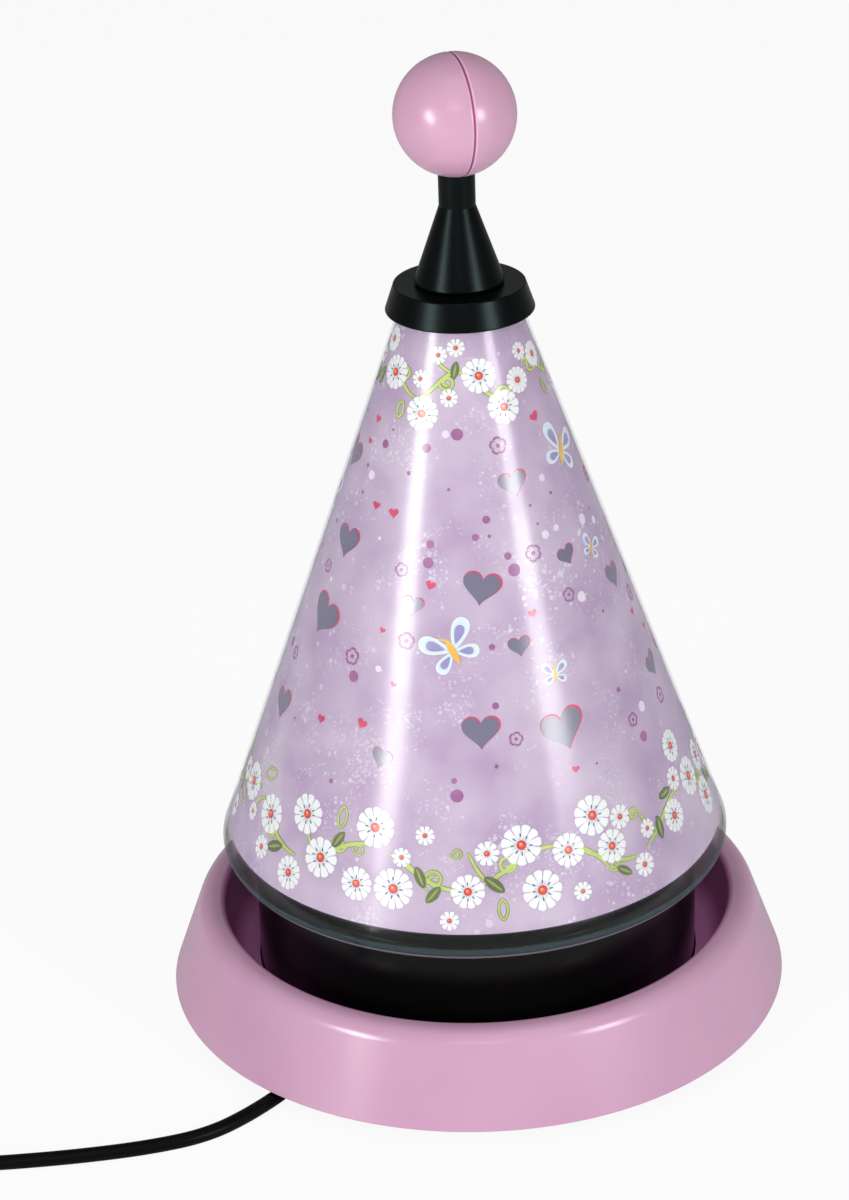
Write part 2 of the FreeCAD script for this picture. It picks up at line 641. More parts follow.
def make_bottom_plate():
    """Plate that closes the base, with a tunnel for the cord, air slots, and a saddle for the lead."""
    body = new_body("bottom_plate")
    extrude(body, "disc", [("0", "0", "plate_radius")], "plate_thickness", out="foot_height")
    extrude(
        body,
        "rib",
        [("0", "0", "plate_rib_radius"), ("0", "0", "plate_rib_radius - plate_rib_wall")],
        f"{FLANGE_UNDER} - ({PLATE_TOP})",
        out=PLATE_TOP,
    )
    roof = "tunnel_wall"
    extrude(
        body,
        "tunnel",
        [
            [
                ("tunnel_start", "foot_height"),
                ("tunnel_end", "foot_height"),
                ("tunnel_end", f"tunnel_level + {roof}"),
                ("tunnel_knee", f"tunnel_level + {roof}"),
                ("tunnel_start", f"tunnel_high + {roof}"),
            ]
        ],
        "tunnel_width",
        middle=True,
        plane="XZ_Plane",
        swing="cord_turn",
    )
    extrude(
        body,
        "channel",
        [
            [
                ("tunnel_start + tunnel_wall", "foot_height - tunnel_wall"),
                ("plate_radius + tunnel_wall", "foot_height - tunnel_wall"),
                ("plate_radius + tunnel_wall", "tunnel_level"),
                ("tunnel_knee", "tunnel_level"),
                ("tunnel_start + tunnel_wall", "tunnel_high"),
            ]
        ],
        "tunnel_width - 2 * tunnel_wall",
        cut=True,
        middle=True,
        plane="XZ_Plane",
        swing="cord_turn",
    )
    extrude(
        body,
        "gland_hole",
        [("0", lead_height("(tunnel_start + tunnel_wall / 2)"), "gland_neck + gland_fit")],
        "tunnel_start + 2 * tunnel_wall",
        cut=True,
        flip=True,
        plane="YZ_Plane",
        swing="cord_turn",
    )
    slot = extrude(
        body,
        "air_slot",
        [slot_points("plate_slot_inner", "plate_slot_outer", "plate_slot_width")],
        "plate_thickness",
        cut=True,
        out=PLATE_TOP,
    )
    pattern(body, "air_slots", slot, "plate_slot_count")
    foot_hole = extrude(
        body, "foot_hole", [("foot_circle", "0", "foot_stud")], "plate_thickness", cut=True, out=PLATE_TOP
    )
    pattern(body, "foot_holes", foot_hole, "foot_count")
    screw_hole = extrude(
        body,
        "screw_hole",
        [("boss_circle", "0", "screw_shank + screw_fit")],
        "plate_thickness",
        cut=True,
        out=PLATE_TOP,
        turn="boss_turn",
    )
    pattern(body, "screw_holes", screw_hole, "foot_count")
    split = lead_height("clamp_place")
    extrude(
        body,
        "saddle",
        [
            box_points(
                "clamp_place - clamp_length / 2",
                "clamp_place + clamp_length / 2",
                "-clamp_width / 2",
                "clamp_width / 2",
            )
        ],
        f"{split} - foot_height",
        out="foot_height",
        turn="cord_turn",
    )
    extrude(
        body,
        "saddle_slot",
        [
            box_points(
                "clamp_place - clamp_length",
                "clamp_place + clamp_length",
                "-cord_radius - gland_fit",
                "cord_radius + gland_fit",
            )
        ],
        "cord_radius + clamp_room",
        cut=True,
        out=split,
        turn="cord_turn",
    )
    extrude(
        body,
        "saddle_holes",
        [
            ("clamp_place", "clamp_screw_gap / 2", "screw_shank + screw_fit"),
            ("clamp_place", "-clamp_screw_gap / 2", "screw_shank + screw_fit"),
        ],
        "clamp_screw_bite",
        cut=True,
        out=split,
        turn="cord_turn",
    )


def make_rubber_feet():
    """Four feet whose barbed studs push through the plate."""
    body = new_body("rubber_feet")
    barb = f"{PLATE_TOP} + foot_barb_height"
    foot = revolve(
        body,
        "foot",
        [
            ("0", "0"),
            ("foot_radius", "0"),
            ("foot_waist", "foot_height"),
            ("foot_stud", "foot_height"),
            ("foot_stud", PLATE_TOP),
            ("foot_barb", PLATE_TOP),
            ("foot_stud", barb),
            ("0", barb),
        ],
        aside="foot_circle",
    )
    pattern(body, "feet", foot, "foot_count")


def make_plate_screws():
    """Four screws from below, through the plate into the ring's bosses."""
    body = new_body("plate_screws")
    head = "foot_height - screw_head_height"
    tip = f"{PLATE_TOP} + boss_depth - screw_shank"
    screw = revolve(body, "screw", screw_points(head, tip), aside="boss_circle")
    pattern(body, "screws", screw, "foot_count")
    place(body, turn="boss_turn")


def make_base_drum():
    """Black drum: side wall, flange under the ring's floor, and the deck with its rim and vents."""
    body = new_body("base_drum")
    hole = "nipple_radius + screw_fit"
    inside = "drum_radius - drum_wall"
    rim_inside = "rim_radius - rim_wall"
    rim_top = "deck_top + rim_height"
    revolve(
        body,
        "shell",
        [
            (hole, DECK_UNDER),
            (inside, DECK_UNDER),
            (inside, FLANGE_UNDER),
            ("drum_flange", FLANGE_UNDER),
            ("drum_flange", WEB_UNDER),
            ("drum_radius", WEB_UNDER),
            ("drum_radius", "deck_top - deck_round", "deck_round", 1),
            ("drum_radius - deck_round", "deck_top"),
            ("rim_radius", "deck_top"),
            ("rim_radius", rim_top),
            (rim_inside, rim_top),
            (rim_inside, "deck_top"),
            (hole, "deck_top"),
        ],
    )
    vent = extrude(
        body,
        "vent",
        [slot_points("vent_inner", "vent_outer", "vent_width")],
        "drum_wall",
        cut=True,
        out="deck_top",
    )
    pattern(body, "vents", vent, "vent_count")
    extrude(
        body,
        "bow_holes",
        [("bow_reach", "0", "bow_wire + screw_fit"), ("-bow_reach", "0", "bow_wire + screw_fit")],
        "drum_wall",
        cut=True,
        out="deck_top",
    )
    extrude(
        body,
        "cord_outlet",
        [
            box_points(
                f"{inside} - drum_wall",
                "drum_flange + drum_wall",
                f"{FLANGE_UNDER} - drum_wall",
                "tunnel_level + tunnel_wall + outlet_room",
            )
        ],
        "tunnel_width + 2 * outlet_room",
        cut=True,
        middle=True,
        plane="XZ_Plane",
        swing="cord_turn",
    )


# ---- the cord's strain relief and the clamp inside ----------------------------------------------


def make_cord_gland():
    """Rubber strain relief, moulded on the cord, in the end wall of the tunnel."""
    body = new_body("cord_gland")
    neck = "gland_collar_length + gland_neck_length"
    revolve(
        body,
        "sleeve",
        [
            ("0", "0"),
            ("0", "gland_collar"),
            ("gland_collar_length", "gland_collar"),
            ("gland_collar_length", "gland_neck"),
            (neck, "gland_neck"),
            (neck, "gland_tail"),
            ("gland_length", "cord_radius + gland_fit"),
            ("gland_length", "0"),
        ],
        axis="H_Axis",
        aside=GLAND_IN,
        up=GLAND_IN_HEIGHT,
        turn="-gland_slope",
    )
    place(body, turn="cord_turn")


def make_inner_lead():
    """Lead from the strain relief up into the nipple of the lamp holder."""
    body = new_body("inner_lead")
    path = new_sketch(body, "path")
    bend_reach = "lead_bend * (1 - sin(gland_slope))"
    bend_height = lead_height(f"({bend_reach})")
    draw(
        path,
        [
            (GLAND_IN, GLAND_IN_HEIGHT),
            (bend_reach, bend_height, "lead_bend", -1),
            ("0", f"{bend_height} + lead_bend * cos(gland_slope)"),
            ("0", "nipple_bottom + lead_rise"),
        ],
        closed=False,
    )
    section = new_sketch(body, "section", plane="XY_Plane", out="nipple_bottom + lead_rise")
    draw_circle(section, "0", "0", "cord_radius")
    pipe = body.newObject("PartDesign::AdditivePipe", "inner_lead_pipe")
    pipe.Profile = section
    pipe.Spine = (path, ["Edge1", "Edge2", "Edge3"])
    doc.recompute()
    place(body, turn="cord_turn")


def make_cord_clamp():
    """Bar over the lead, screwed to the plate's saddle."""
    body = new_body("cord_clamp")
    split = lead_height("clamp_place")
    extrude(
        body,
        "bar",
        [
            box_points(
                "clamp_place - clamp_length / 2",
                "clamp_place + clamp_length / 2",
                "-clamp_width / 2",
                "clamp_width / 2",
            )
        ],
        "cord_radius + clamp_room + clamp_bar",
        out=split,
    )
    extrude(
        body,
        "slot",
        [
            box_points(
                "clamp_place - clamp_length",
                "clamp_place + clamp_length",
                "-cord_radius - gland_fit",
                "cord_radius + gland_fit",
            )
        ],
        "cord_radius + clamp_room",
        cut=True,
        flip=True,
        out=split,
    )
    extrude(
        body,
        "holes",
        [
            ("clamp_place", "clamp_screw_gap / 2", "screw_shank + screw_fit"),
            ("clamp_place", "-clamp_screw_gap / 2", "screw_shank + screw_fit"),
        ],
        "cord_radius + clamp_room + clamp_bar",
        cut=True,
        flip=True,
        out=split,
    )
    place(body, turn="cord_turn")


def make_clamp_screws():
    """Two screws that point down into the saddle."""
    body = new_body("clamp_screws")
    bar_top = f"{lead_height('clamp_place')} + cord_radius + clamp_room + clamp_bar"
    tip = f"{lead_height('clamp_place')} - clamp_screw_bite + screw_shank"
    shanks = [
        ("clamp_place", "clamp_screw_gap / 2", "screw_shank"),
        ("clamp_place", "-clamp_screw_gap / 2", "screw_shank"),
    ]
    heads = [(x, y, "screw_head") for x, y, _ in shanks]
    extrude(body, "shanks", shanks, f"{bar_top} - ({tip})", flip=True, out=bar_top)
    extrude(body, "heads", heads, "screw_head_height", out=bar_top)
    place(body, turn="cord_turn")


# ---- lamp holder and bulb -----------------------------------------------------------------------


def make_threaded_nipple():
    body = new_body("threaded_nipple")
    top = "deck_top + nipple_rise"
    revolve(
        body,
        "tube",
        [
            ("nipple_bore", "nipple_bottom"),
            ("nipple_radius", "nipple_bottom"),
            ("nipple_radius", top),
            ("nipple_bore", top),
        ],
    )


def make_lock_nut():
    body = new_body("lock_nut")
    corners = [(f"nut_radius * cos({turn})", f"nut_radius * sin({turn})") for turn in range(30, 390, 60)]
    extrude(body, "hexagon", [corners], "nut_height", flip=True, out=DECK_UNDER)
    extrude(
        body,
        "bore",
        [("0", "0", "nipple_radius + screw_fit")],
        "nut_height",
        cut=True,
        out=DECK_UNDER,
    )


def make_holder_body():
    """Body of the E14 lamp holder."""
    body = new_body("holder_body")
    sleeve = "sleeve_radius + sleeve_wall"
    top = "deck_top + holder_height"
    flange_top = "deck_top + holder_flange_height"
    rib_low = f"{top} - holder_rib_height"
    revolve(
        body,
        "shell",
        [
            ("nipple_radius + screw_fit", "deck_top"),
            ("holder_flange", "deck_top"),
            ("holder_flange", flange_top),
            ("holder_radius", flange_top),
            ("holder_radius", rib_low),
            ("holder_rib", rib_low),
            ("holder_rib", top),
            (sleeve, top),
            (sleeve, HOLDER_FLOOR),
            ("nipple_radius + screw_fit", HOLDER_FLOOR),
        ],
    )


def make_holder_sleeve():
    body = new_body("holder_sleeve")
    top = "deck_top + holder_height"
    revolve(
        body,
        "tube",
        [
            ("sleeve_radius", HOLDER_FLOOR),
            ("sleeve_radius + sleeve_wall", HOLDER_FLOOR),
            ("sleeve_radius + sleeve_wall", top),
            ("sleeve_radius", top),
        ],
    )


def make_holder_contact():
    body = new_body("holder_contact")
    disc_top = f"{HOLDER_FLOOR} + contact_thickness"
    revolve(
        body,
        "disc",
        [
            ("0", HOLDER_FLOOR),
            ("contact_radius", HOLDER_FLOOR),
            ("contact_radius", disc_top),
            ("contact_nub", disc_top),
            ("contact_nub", BULB_TIP),
            ("0", BULB_TIP),
        ],
    )


def make_bulb_cap():
    body = new_body("bulb_cap")
    revolve(
        body,
        "cap",
        [
            ("0", BULB_TIP),
            ("cap_tip", BULB_TIP),
            ("cap_radius", f"{BULB_TIP} + cap_tip"),
            ("cap_radius", CAP_TOP),
            ("0", CAP_TOP),
        ],
    )


def make_bulb_glass():
    """Small round bulb: a globe on a tapering neck."""
    body = new_body("bulb_glass")
    top = f"{BULB_TIP} + bulb_length"
    middle = f"({top} - bulb_radius)"
    inner = "(bulb_radius - bulb_wall)"
    low = f"{middle} - bulb_radius * sin(bulb_tangent)"
    inner_low = f"{middle} - {inner} * sin(bulb_tangent)"
    revolve(
        body,
        "globe",
        [
            ("cap_radius - bulb_wall", CAP_TOP),
            ("cap_radius", CAP_TOP),
            ("bulb_radius * cos(bulb_tangent)", low, "bulb_radius", 1),
            ("bulb_radius", middle, "bulb_radius", 1),
            ("0", top),
            ("0", f"{top} - bulb_wall", inner, -1),
            (inner, middle, inner, -1),
            (f"{inner} * cos(bulb_tangent)", inner_low),
        ],
    )


# ---- the needle on its bow ----------------------------------------------------------------------


def make_needle_bow():
    """Wire bow that stands on the deck over the bulb."""
    body = new_body("needle_bow")
    path = new_sketch(body, "path")
    shoulder = "bow_top - bow_bend"
    draw(
        path,
        [
            ("-bow_reach", BOW_LOW),
            ("-bow_reach", shoulder, "bow_bend", -1),
            ("bow_bend - bow_reach", "bow_top"),
            ("bow_reach - bow_bend", "bow_top", "bow_bend", -1),
            ("bow_reach", shoulder),
            ("bow_reach", BOW_LOW),
        ],
        closed=False,
    )
    section = new_sketch(body, "section", plane="XY_Plane", out=BOW_LOW)
    draw_circle(section, "-bow_reach", "0", "bow_wire")
    pipe = body.newObject("PartDesign::AdditivePipe", "needle_bow_pipe")
    pipe.Profile = section
    pipe.Spine = (path, [f"Edge{i}" for i in range(1, 6)])
    doc.recompute()


def make_push_nuts():
    """Two spring washers that hold the legs of the bow under the deck."""
    body = new_body("push_nuts")
    circles = [(x, "0", r) for x in ("bow_reach", "-bow_reach") for r in ("push_nut_radius", "bow_wire")]
    extrude(body, "washers", circles, "push_nut_height", flip=True, out=DECK_UNDER)


def make_needle_ferrule():
    """Brass ferrule, pressed on the top wire, that holds the needle upright."""
    body = new_body("needle_ferrule")
    low = "bow_top - ferrule_drop"
    top = "bow_top + ferrule_rise"
    foot = "bow_top + needle_foot"
    revolve(
        body,
        "barrel",
        [
            ("0", low),
            ("ferrule_radius", low),
            ("ferrule_radius", top),
            ("needle_radius", top),
            ("needle_radius", foot),
            ("0", foot),
        ],
    )
    extrude(
        body,
        "wire_hole",
        [("0", "bow_top", "bow_wire")],
        "4 * ferrule_radius",
        cut=True,
        middle=True,
        plane="YZ_Plane",
    )


def make_pivot_needle():
    body = new_body("pivot_needle")
    foot = "bow_top + needle_foot"
    revolve(
        body,
        "pin",
        [("0", foot), ("needle_radius", foot), ("needle_radius", "needle_top - needle_point"), ("0", "needle_top")],
    )


# ---- the rotor ----------------------------------------------------------------------------------


def blade_section(body, name, reach, width, pitch):
    """Cross-section of a blade, square to its length, at a distance from the hub's axis."""
    sketch = new_sketch(body, name, plane="YZ_Plane", out=reach)
    corners = []
    for along, across in ((-1, -1), (1, -1), (1, 1), (-1, 1)):
        corners.append(
            (
                f"{along} * {width} / 2 * cos({pitch}) - {across} * blade_thickness / 2 * sin({pitch})",
                f"wheel_middle + {along} * {width} / 2 * sin({pitch})"
                f" + {across} * blade_thickness / 2 * cos({pitch})",
            )
        )
    draw(sketch, corners)
    return sketch


def make_turbine_wheel():
    """Vaned wheel: each blade is lofted from a steep root to a flatter, wider tip."""
    body = new_body("turbine_wheel")
    hub_top = f"{CUP_TOP} + hub_cap"
    revolve(
        body,
        "hub",
        [
            ("cup_radius", HUB_LOW),
            ("hub_radius", HUB_LOW),
            ("hub_radius", hub_top),
            ("0", hub_top),
            ("0", CUP_TOP),
            ("cup_radius", CUP_TOP),
        ],
    )
    low = "wheel_middle - wheel_rim_height / 2"
    high = "wheel_middle + wheel_rim_height / 2"
    rim_low = shade_face(f"({low})", FILM_INSIDE)
    rim_high = shade_face(f"({high})", FILM_INSIDE)
    revolve(
        body,
        "rim",
        [
            (f"{rim_high} - wheel_rim_wall", low),
            (rim_low, low),
            (rim_high, high),
            (f"{rim_high} - wheel_rim_wall", high),
        ],
    )
    root = blade_section(body, "blade_root", "hub_radius - blade_thickness", "blade_root", "blade_root_pitch")
    tip = blade_section(
        body,
        "blade_tip",
        f"{rim_high} - wheel_rim_wall / 2",
        "blade_tip",
        "blade_tip_pitch",
    )
    blade = body.newObject("PartDesign::AdditiveLoft", "turbine_wheel_blade")
    blade.Profile = root
    blade.Sections = [tip]
    blade.Ruled = True
    body.Tip = blade
    doc.recompute()
    pattern(body, "blades", blade, "blade_count")


def make_bearing_cup():
    """Cup with a conical recess that turns on the needle's point."""
    body = new_body("bearing_cup")
    mouth = f"{HUB_LOW} + cup_rise"
    seat = "needle_top + needle_room"
    revolve(
        body,
        "cup",
        [
            ("cup_mouth", mouth),
            ("cup_radius", mouth),
            ("cup_radius", CUP_TOP),
            ("0", CUP_TOP),
            ("0", seat),
            ("cup_seat", seat),
        ],
    )


def make_film_cone():
    """Printed film, rolled to a cone that hangs on the wheel's rim."""
    body = new_body("film_cone")
    revolve(
        body,
        "film",
        [
            (shade_face("film_bottom", FILM_INSIDE), "film_bottom"),
            (shade_face("film_bottom", FILM_OUTSIDE), "film_bottom"),
            (shade_face("film_top", FILM_OUTSIDE), "film_top"),
            (shade_face("film_top", FILM_INSIDE), "film_top"),
        ],
    )


# ---- the shade, its collar and the finial -------------------------------------------------------


def make_clear_shade():
    """Clear cone whose foot is rolled in to stand on the deck, round the drum's rim."""
    body = new_body("clear_shade")
    inner_roll = "(shade_roll - shade_wall)"
    middle = "deck_top + shade_roll"
    inside = "rim_radius + shade_room"
    revolve(
        body,
        "cone",
        [
            (inside, "deck_top"),
            ("shade_foot", "deck_top", "shade_roll", 1),
            ("shade_foot + shade_roll * cos(shade_lean)", f"{middle} + shade_roll * sin(shade_lean)"),
            (shade_face("shade_top"), "shade_top"),
            (shade_face("shade_top", "shade_wall"), "shade_top"),
            (
                f"shade_foot + {inner_roll} * cos(shade_lean)",
                f"{middle} + {inner_roll} * sin(shade_lean)",
                inner_roll,
                -1,
            ),
            ("shade_foot", "deck_top + shade_wall"),
            (inside, "deck_top + shade_wall"),
        ],
    )


def make_top_collar():
    """Black collar: a flared skirt whose ribs stand on the shade, so that warm air leaves under it."""
    body = new_body("top_collar")
    bottom = "collar_top - collar_height"
    under = "collar_top - collar_wall"
    flare = "((collar_radius - collar_top_radius) / collar_height)"
    hole = "screw_shank + screw_fit"
    cap = revolve(
        body,
        "cap",
        [
            (hole, under),
            (hole, "collar_top"),
            ("collar_top_radius", "collar_top"),
            ("collar_radius", bottom),
            ("collar_radius - collar_wall", bottom),
            (f"collar_top_radius - collar_wall + collar_wall * {flare}", under),
        ],
    )
    rims = [ring_edge("collar_top_radius", "collar_top"), ring_edge("collar_radius", bottom)]
    soften(body, "edges", cap, lambda edge: any(rim(edge) for rim in rims), "collar_round")
    step = shade_face("shade_top", "-collar_rib_room")
    rib_low = "shade_top - collar_rib_drop"
    wall_low = f"collar_radius - collar_wall / 2 - ({rib_low} - ({bottom})) * {flare}"
    wall_high = f"collar_top_radius - collar_wall / 2 + collar_wall * {flare}"
    rib = extrude(
        body,
        "rib",
        [
            [
                ("collar_rib_inner", "shade_top"),
                (step, "shade_top"),
                (shade_face(f"({rib_low})", "-collar_rib_room"), rib_low),
                (wall_low, rib_low),
                (wall_high, under),
                ("collar_rib_inner", under),
            ]
        ],
        "collar_rib",
        middle=True,
        plane="XZ_Plane",
    )
    pattern(body, "ribs", rib, "collar_rib_count")


def make_finial():
    """Cone and stem in one moulding, with a seat and a spigot for the ball."""
    body = new_body("finial")
    seat = "ball_middle - sqrt(ball_radius * ball_radius - stem_radius * stem_radius)"
    seat_inner = "ball_middle - sqrt(ball_radius * ball_radius - spigot_radius * spigot_radius)"
    spigot_top = "ball_middle - ball_radius + spigot_height"
    hole = "screw_shank + screw_fit"
    depth = "collar_top + finial_screw_depth"
    revolve(
        body,
        "turned",
        [
            ("0", depth),
            (hole, depth),
            (hole, "collar_top"),
            ("finial_radius - finial_round", "collar_top", "finial_round", 1),
            ("finial_radius", "collar_top + finial_round"),
            ("stem_radius", FINIAL_TOP),
            ("stem_radius", seat, "ball_radius", -1),
            ("spigot_radius", seat_inner),
            ("spigot_radius", spigot_top),
            ("0", spigot_top),
        ],
    )


def make_finial_screw():
    """Screw from inside the collar, up into the finial."""
    body = new_body("finial_screw")
    head = "collar_top - collar_wall - screw_head_height"
    revolve(body, "screw", screw_points(head, "collar_top + finial_screw_depth - screw_shank"))


def make_ball_half(name, turn):
    """Half of the hollow ball, split upright, with half a boss round the spigot."""
    body = new_body(name)
    inner = "(ball_radius - ball_wall)"
    bore = "(spigot_radius + spigot_room)"
    boss_top = "ball_middle - ball_radius + spigot_height"
    revolve(
        body,
        "shell",
        [
            (bore, f"ball_middle - sqrt(ball_radius * ball_radius - {bore} * {bore})", "ball_radius", 1),
            ("ball_radius", "ball_middle", "ball_radius", 1),
            ("0", "ball_middle + ball_radius"),
            ("0", f"ball_middle + {inner}", inner, -1),
            (inner, "ball_middle", inner, -1),
            ("ball_boss", f"ball_middle - sqrt({inner} * {inner} - ball_boss * ball_boss)"),
            ("ball_boss", boss_top),
            (bore, boss_top),
        ],
        angle=180.0,
    )
    revolve(
        body,
        "seam",
        [
            ("ball_radius - ball_seam", "0"),
            ("ball_radius + ball_seam", "2 * ball_seam"),
            ("ball_radius + ball_seam", "-2 * ball_seam"),
        ],
        groove=True,
        plane="XY_Plane",
        out="ball_middle",
    )
    place(body, turn=turn)


# ---- the switch in the cord ---------------------------------------------------------------------


SWITCH_SCREWS = [("switch_screw_x", "switch_screw_y"), ("-switch_screw_x", "-switch_screw_y")]


def make_switch_shell(name, upper):
    """Half of the switch's housing, hollow between its solid ends."""
    body = new_body(name)
    outline = rounded_box_points("switch_length / 2", "switch_width / 2", "switch_corner")
    depth = "switch_height - switch_split" if upper else "switch_split"
    face = "switch_height" if upper else "0"
    block = extrude(body, "block", [outline], depth, flip=not upper, out="switch_split")

    def on_face(edge):
        return all(abs(v.Point.z - number(face)) < 0.01 for v in edge.Vertexes)

    soften(body, "edges", block, on_face, "switch_edge")
    hollow = box_points(
        "switch_end - switch_length / 2",
        "switch_length / 2 - switch_end",
        "switch_wall - switch_width / 2",
        "switch_width / 2 - switch_wall",
    )
    extrude(body, "hollow", [hollow], f"{depth} - switch_wall", cut=True, flip=upper, out="switch_split")
    holes = [(x, y, "screw_shank + screw_fit") for x, y in SWITCH_SCREWS]
    if upper:
        window = box_points("-window_length / 2", "window_length / 2", "-window_width / 2", "window_width / 2")
        extrude(body, "window", [window], "2 * switch_wall", cut=True, out="switch_height")
        lugs = [
            box_points("-lug_length / 2", "lug_length / 2", "lug_near", "lug_far"),
            box_points("-lug_length / 2", "lug_length / 2", "-lug_far", "-lug_near"),
        ]
        extrude(body, "lugs", lugs, "switch_height - switch_wall / 2 - lug_low", out="lug_low")
        pin = [("0", "pin_height", "pin_radius + pin_fit")]
        extrude(body, "pin_hole", pin, "2 * lug_far", cut=True, middle=True, plane="XZ_Plane")
        extrude(
            body, "holes", holes, "switch_hole_top - switch_split", cut=True, flip=True, out="switch_split"
        )
    else:
        extrude(body, "holes", holes, "switch_split", cut=True, out="switch_split")
        sinks = [(x, y, "screw_head + screw_fit") for x, y in SWITCH_SCREWS]
        extrude(body, "sinks", sinks, "switch_sink", cut=True, out="switch_sink")
    place(body, x="switch_x", y="switch_y")


def make_switch_rocker():
    """Rocker whose two faces meet in a shallow ridge, lying on its off side."""
    body = new_body("switch_rocker")
    half = "rocker_length / 2"
    ridge = f"rocker_crown - {half} * tan(rocker_throw / 2)"
    extrude(
        body,
        "paddle",
        [
            [
                (f"-{half}", "0"),
                (f"-{half} / 2", "-rocker_skirt"),
                (f"{half} / 2", "-rocker_skirt"),
                (half, "0"),
                (half, "rocker_crown"),
                ("0", ridge),
                (f"-{half}", "rocker_crown"),
            ]
        ],
        "rocker_width",
        middle=True,
        plane="XZ_Plane",
    )
    extrude(
        body,
        "pin_hole",
        [("0", "0", "pin_radius + pin_fit")],
        "2 * rocker_width",
        cut=True,
        middle=True,
        plane="XZ_Plane",
    )
    place(body, x="switch_x", y="switch_y", z="pin_height", turn="rocker_throw / 2", about=(0, 1, 0))


def make_rocker_pin():
    body = new_body("rocker_pin")
    extrude(
        body, "pin", [("0", "pin_height", "pin_radius")], "pin_length", middle=True, plane="XZ_Plane"
    )
    place(body, x="switch_x", y="switch_y")


def make_switch_screws():
    """Two screws from below that hold the shells together."""
    body = new_body("switch_screws")
    shanks = [(x, y, "screw_shank") for x, y in SWITCH_SCREWS]
    heads = [(x, y, "screw_head") for x, y in SWITCH_SCREWS]
    extrude(body, "shanks", shanks, "switch_screw_tip - switch_sink", out="switch_sink")
    extrude(body, "heads", heads, "screw_head_height", flip=True, out="switch_sink")
    place(body, x="switch_x", y="switch_y")


# ---- the coil, its tie and the plug --------------------------------------------------------------


def coil_section(inset="0"):
    """Rounded section of the coil beside its axis, or a smaller one inside it."""
    left = f"coil_radius - coil_width / 2 + {inset}"
    right = f"coil_radius + coil_width / 2 - {inset}"
    low, high, r = inset, f"coil_height - {inset}", f"(coil_round - {inset})"
    return [
        (f"{left} + {r}", low),
        (f"{right} - {r}", low, r, 1),
        (right, f"{low} + {r}"),
        (right, f"{high} - {r}", r, 1),
        (f"{right} - {r}", high),
        (f"{left} + {r}", high, r, 1),
        (left, f"{high} - {r}"),
        (left, f"{low} + {r}", r, 1),
    ]


def make_cord_coil():
    """Spare cord in a coil, waisted where the tie goes round it."""
    body = new_body("cord_coil")
    revolve(body, "turns", coil_section())
    margin = box_points(
        "coil_radius - coil_width", "coil_radius + coil_width", "-coil_height", "2 * coil_height"
    )
    extrude(
        body,
        "waist",
        [margin, coil_section("tie_thickness")],
        "tie_width + 2 * tie_room",
        cut=True,
        middle=True,
        plane="XZ_Plane",
        swing="tie_turn",
    )
    place(body, x="coil_x", y="coil_y")


def make_cord_tie():
    body = new_body("cord_tie")
    extrude(
        body,
        "band",
        [coil_section(), coil_section("tie_thickness")],
        "tie_width",
        middle=True,
        plane="XZ_Plane",
        swing="tie_turn",
    )
    place(body, x="coil_x", y="coil_y")


def make_plug_body():
    """Flat moulded plug, lofted from a slim tail to a wide front."""
    body = new_body("plug_body")
    stations = [
        ("0", "plug_tail_width", "plug_tail_width"),
        ("plug_tail", "plug_neck_width", "plug_neck_height"),
        ("plug_tail + plug_grip", "plug_width", "plug_height"),
        ("plug_tail + plug_grip + plug_front", "plug_width", "plug_height"),
    ]
    sketches = []
    for i, (along, wide, high) in enumerate(stations, start=1):
        sketch = new_sketch(body, f"section_{i}", plane="XZ_Plane", out=f"-({along})")
        draw(sketch, rounded_box_points(f"({wide}) / 2", f"({high}) / 2", "plug_corner"))
        sketches.append(sketch)
    grip = body.newObject("PartDesign::AdditiveLoft", "plug_body_loft")
    grip.Profile = sketches[0]
    grip.Sections = sketches[1:]
    grip.Ruled = True
    doc.recompute()
    place(body, x="plug_x", y="plug_y", z="plug_height / 2")


def make_plug_pins():
    body = new_body("plug_pins")
    front = "plug_tail + plug_grip + plug_front"
    pins = [(x, "0", "plug_pin_radius") for x in ("plug_pin_gap / 2", "-plug_pin_gap / 2")]
    extrude(body, "pins", pins, "plug_pin_length", flip=True, plane="XZ_Plane", out=f"-({front})")
    place(body, x="plug_x", y="plug_y", z="plug_height / 2")


# ---- the cord on the table -----------------------------------------------------------------------

BEND_SHARE = 0.45  # part of the shorter run beside a corner that its bend may use
FLOOR = number("cord_radius")
GLAND_FACE = [
    number("gland_out * cos(cord_turn)"),
    number("gland_out * sin(cord_turn)"),
    number("gland_out_height"),
]
SWITCH_NEAR = number("switch_x + switch_length / 2")
SWITCH_FAR = number("switch_x - switch_length / 2")
SWITCH_ROW = number("switch_y")
SPLIT = number("switch_split")
PLUG_ROW = number("plug_x")
PLUG_AXIS = number("plug_height / 2")
PLUG_DIP = number("cord_dip")

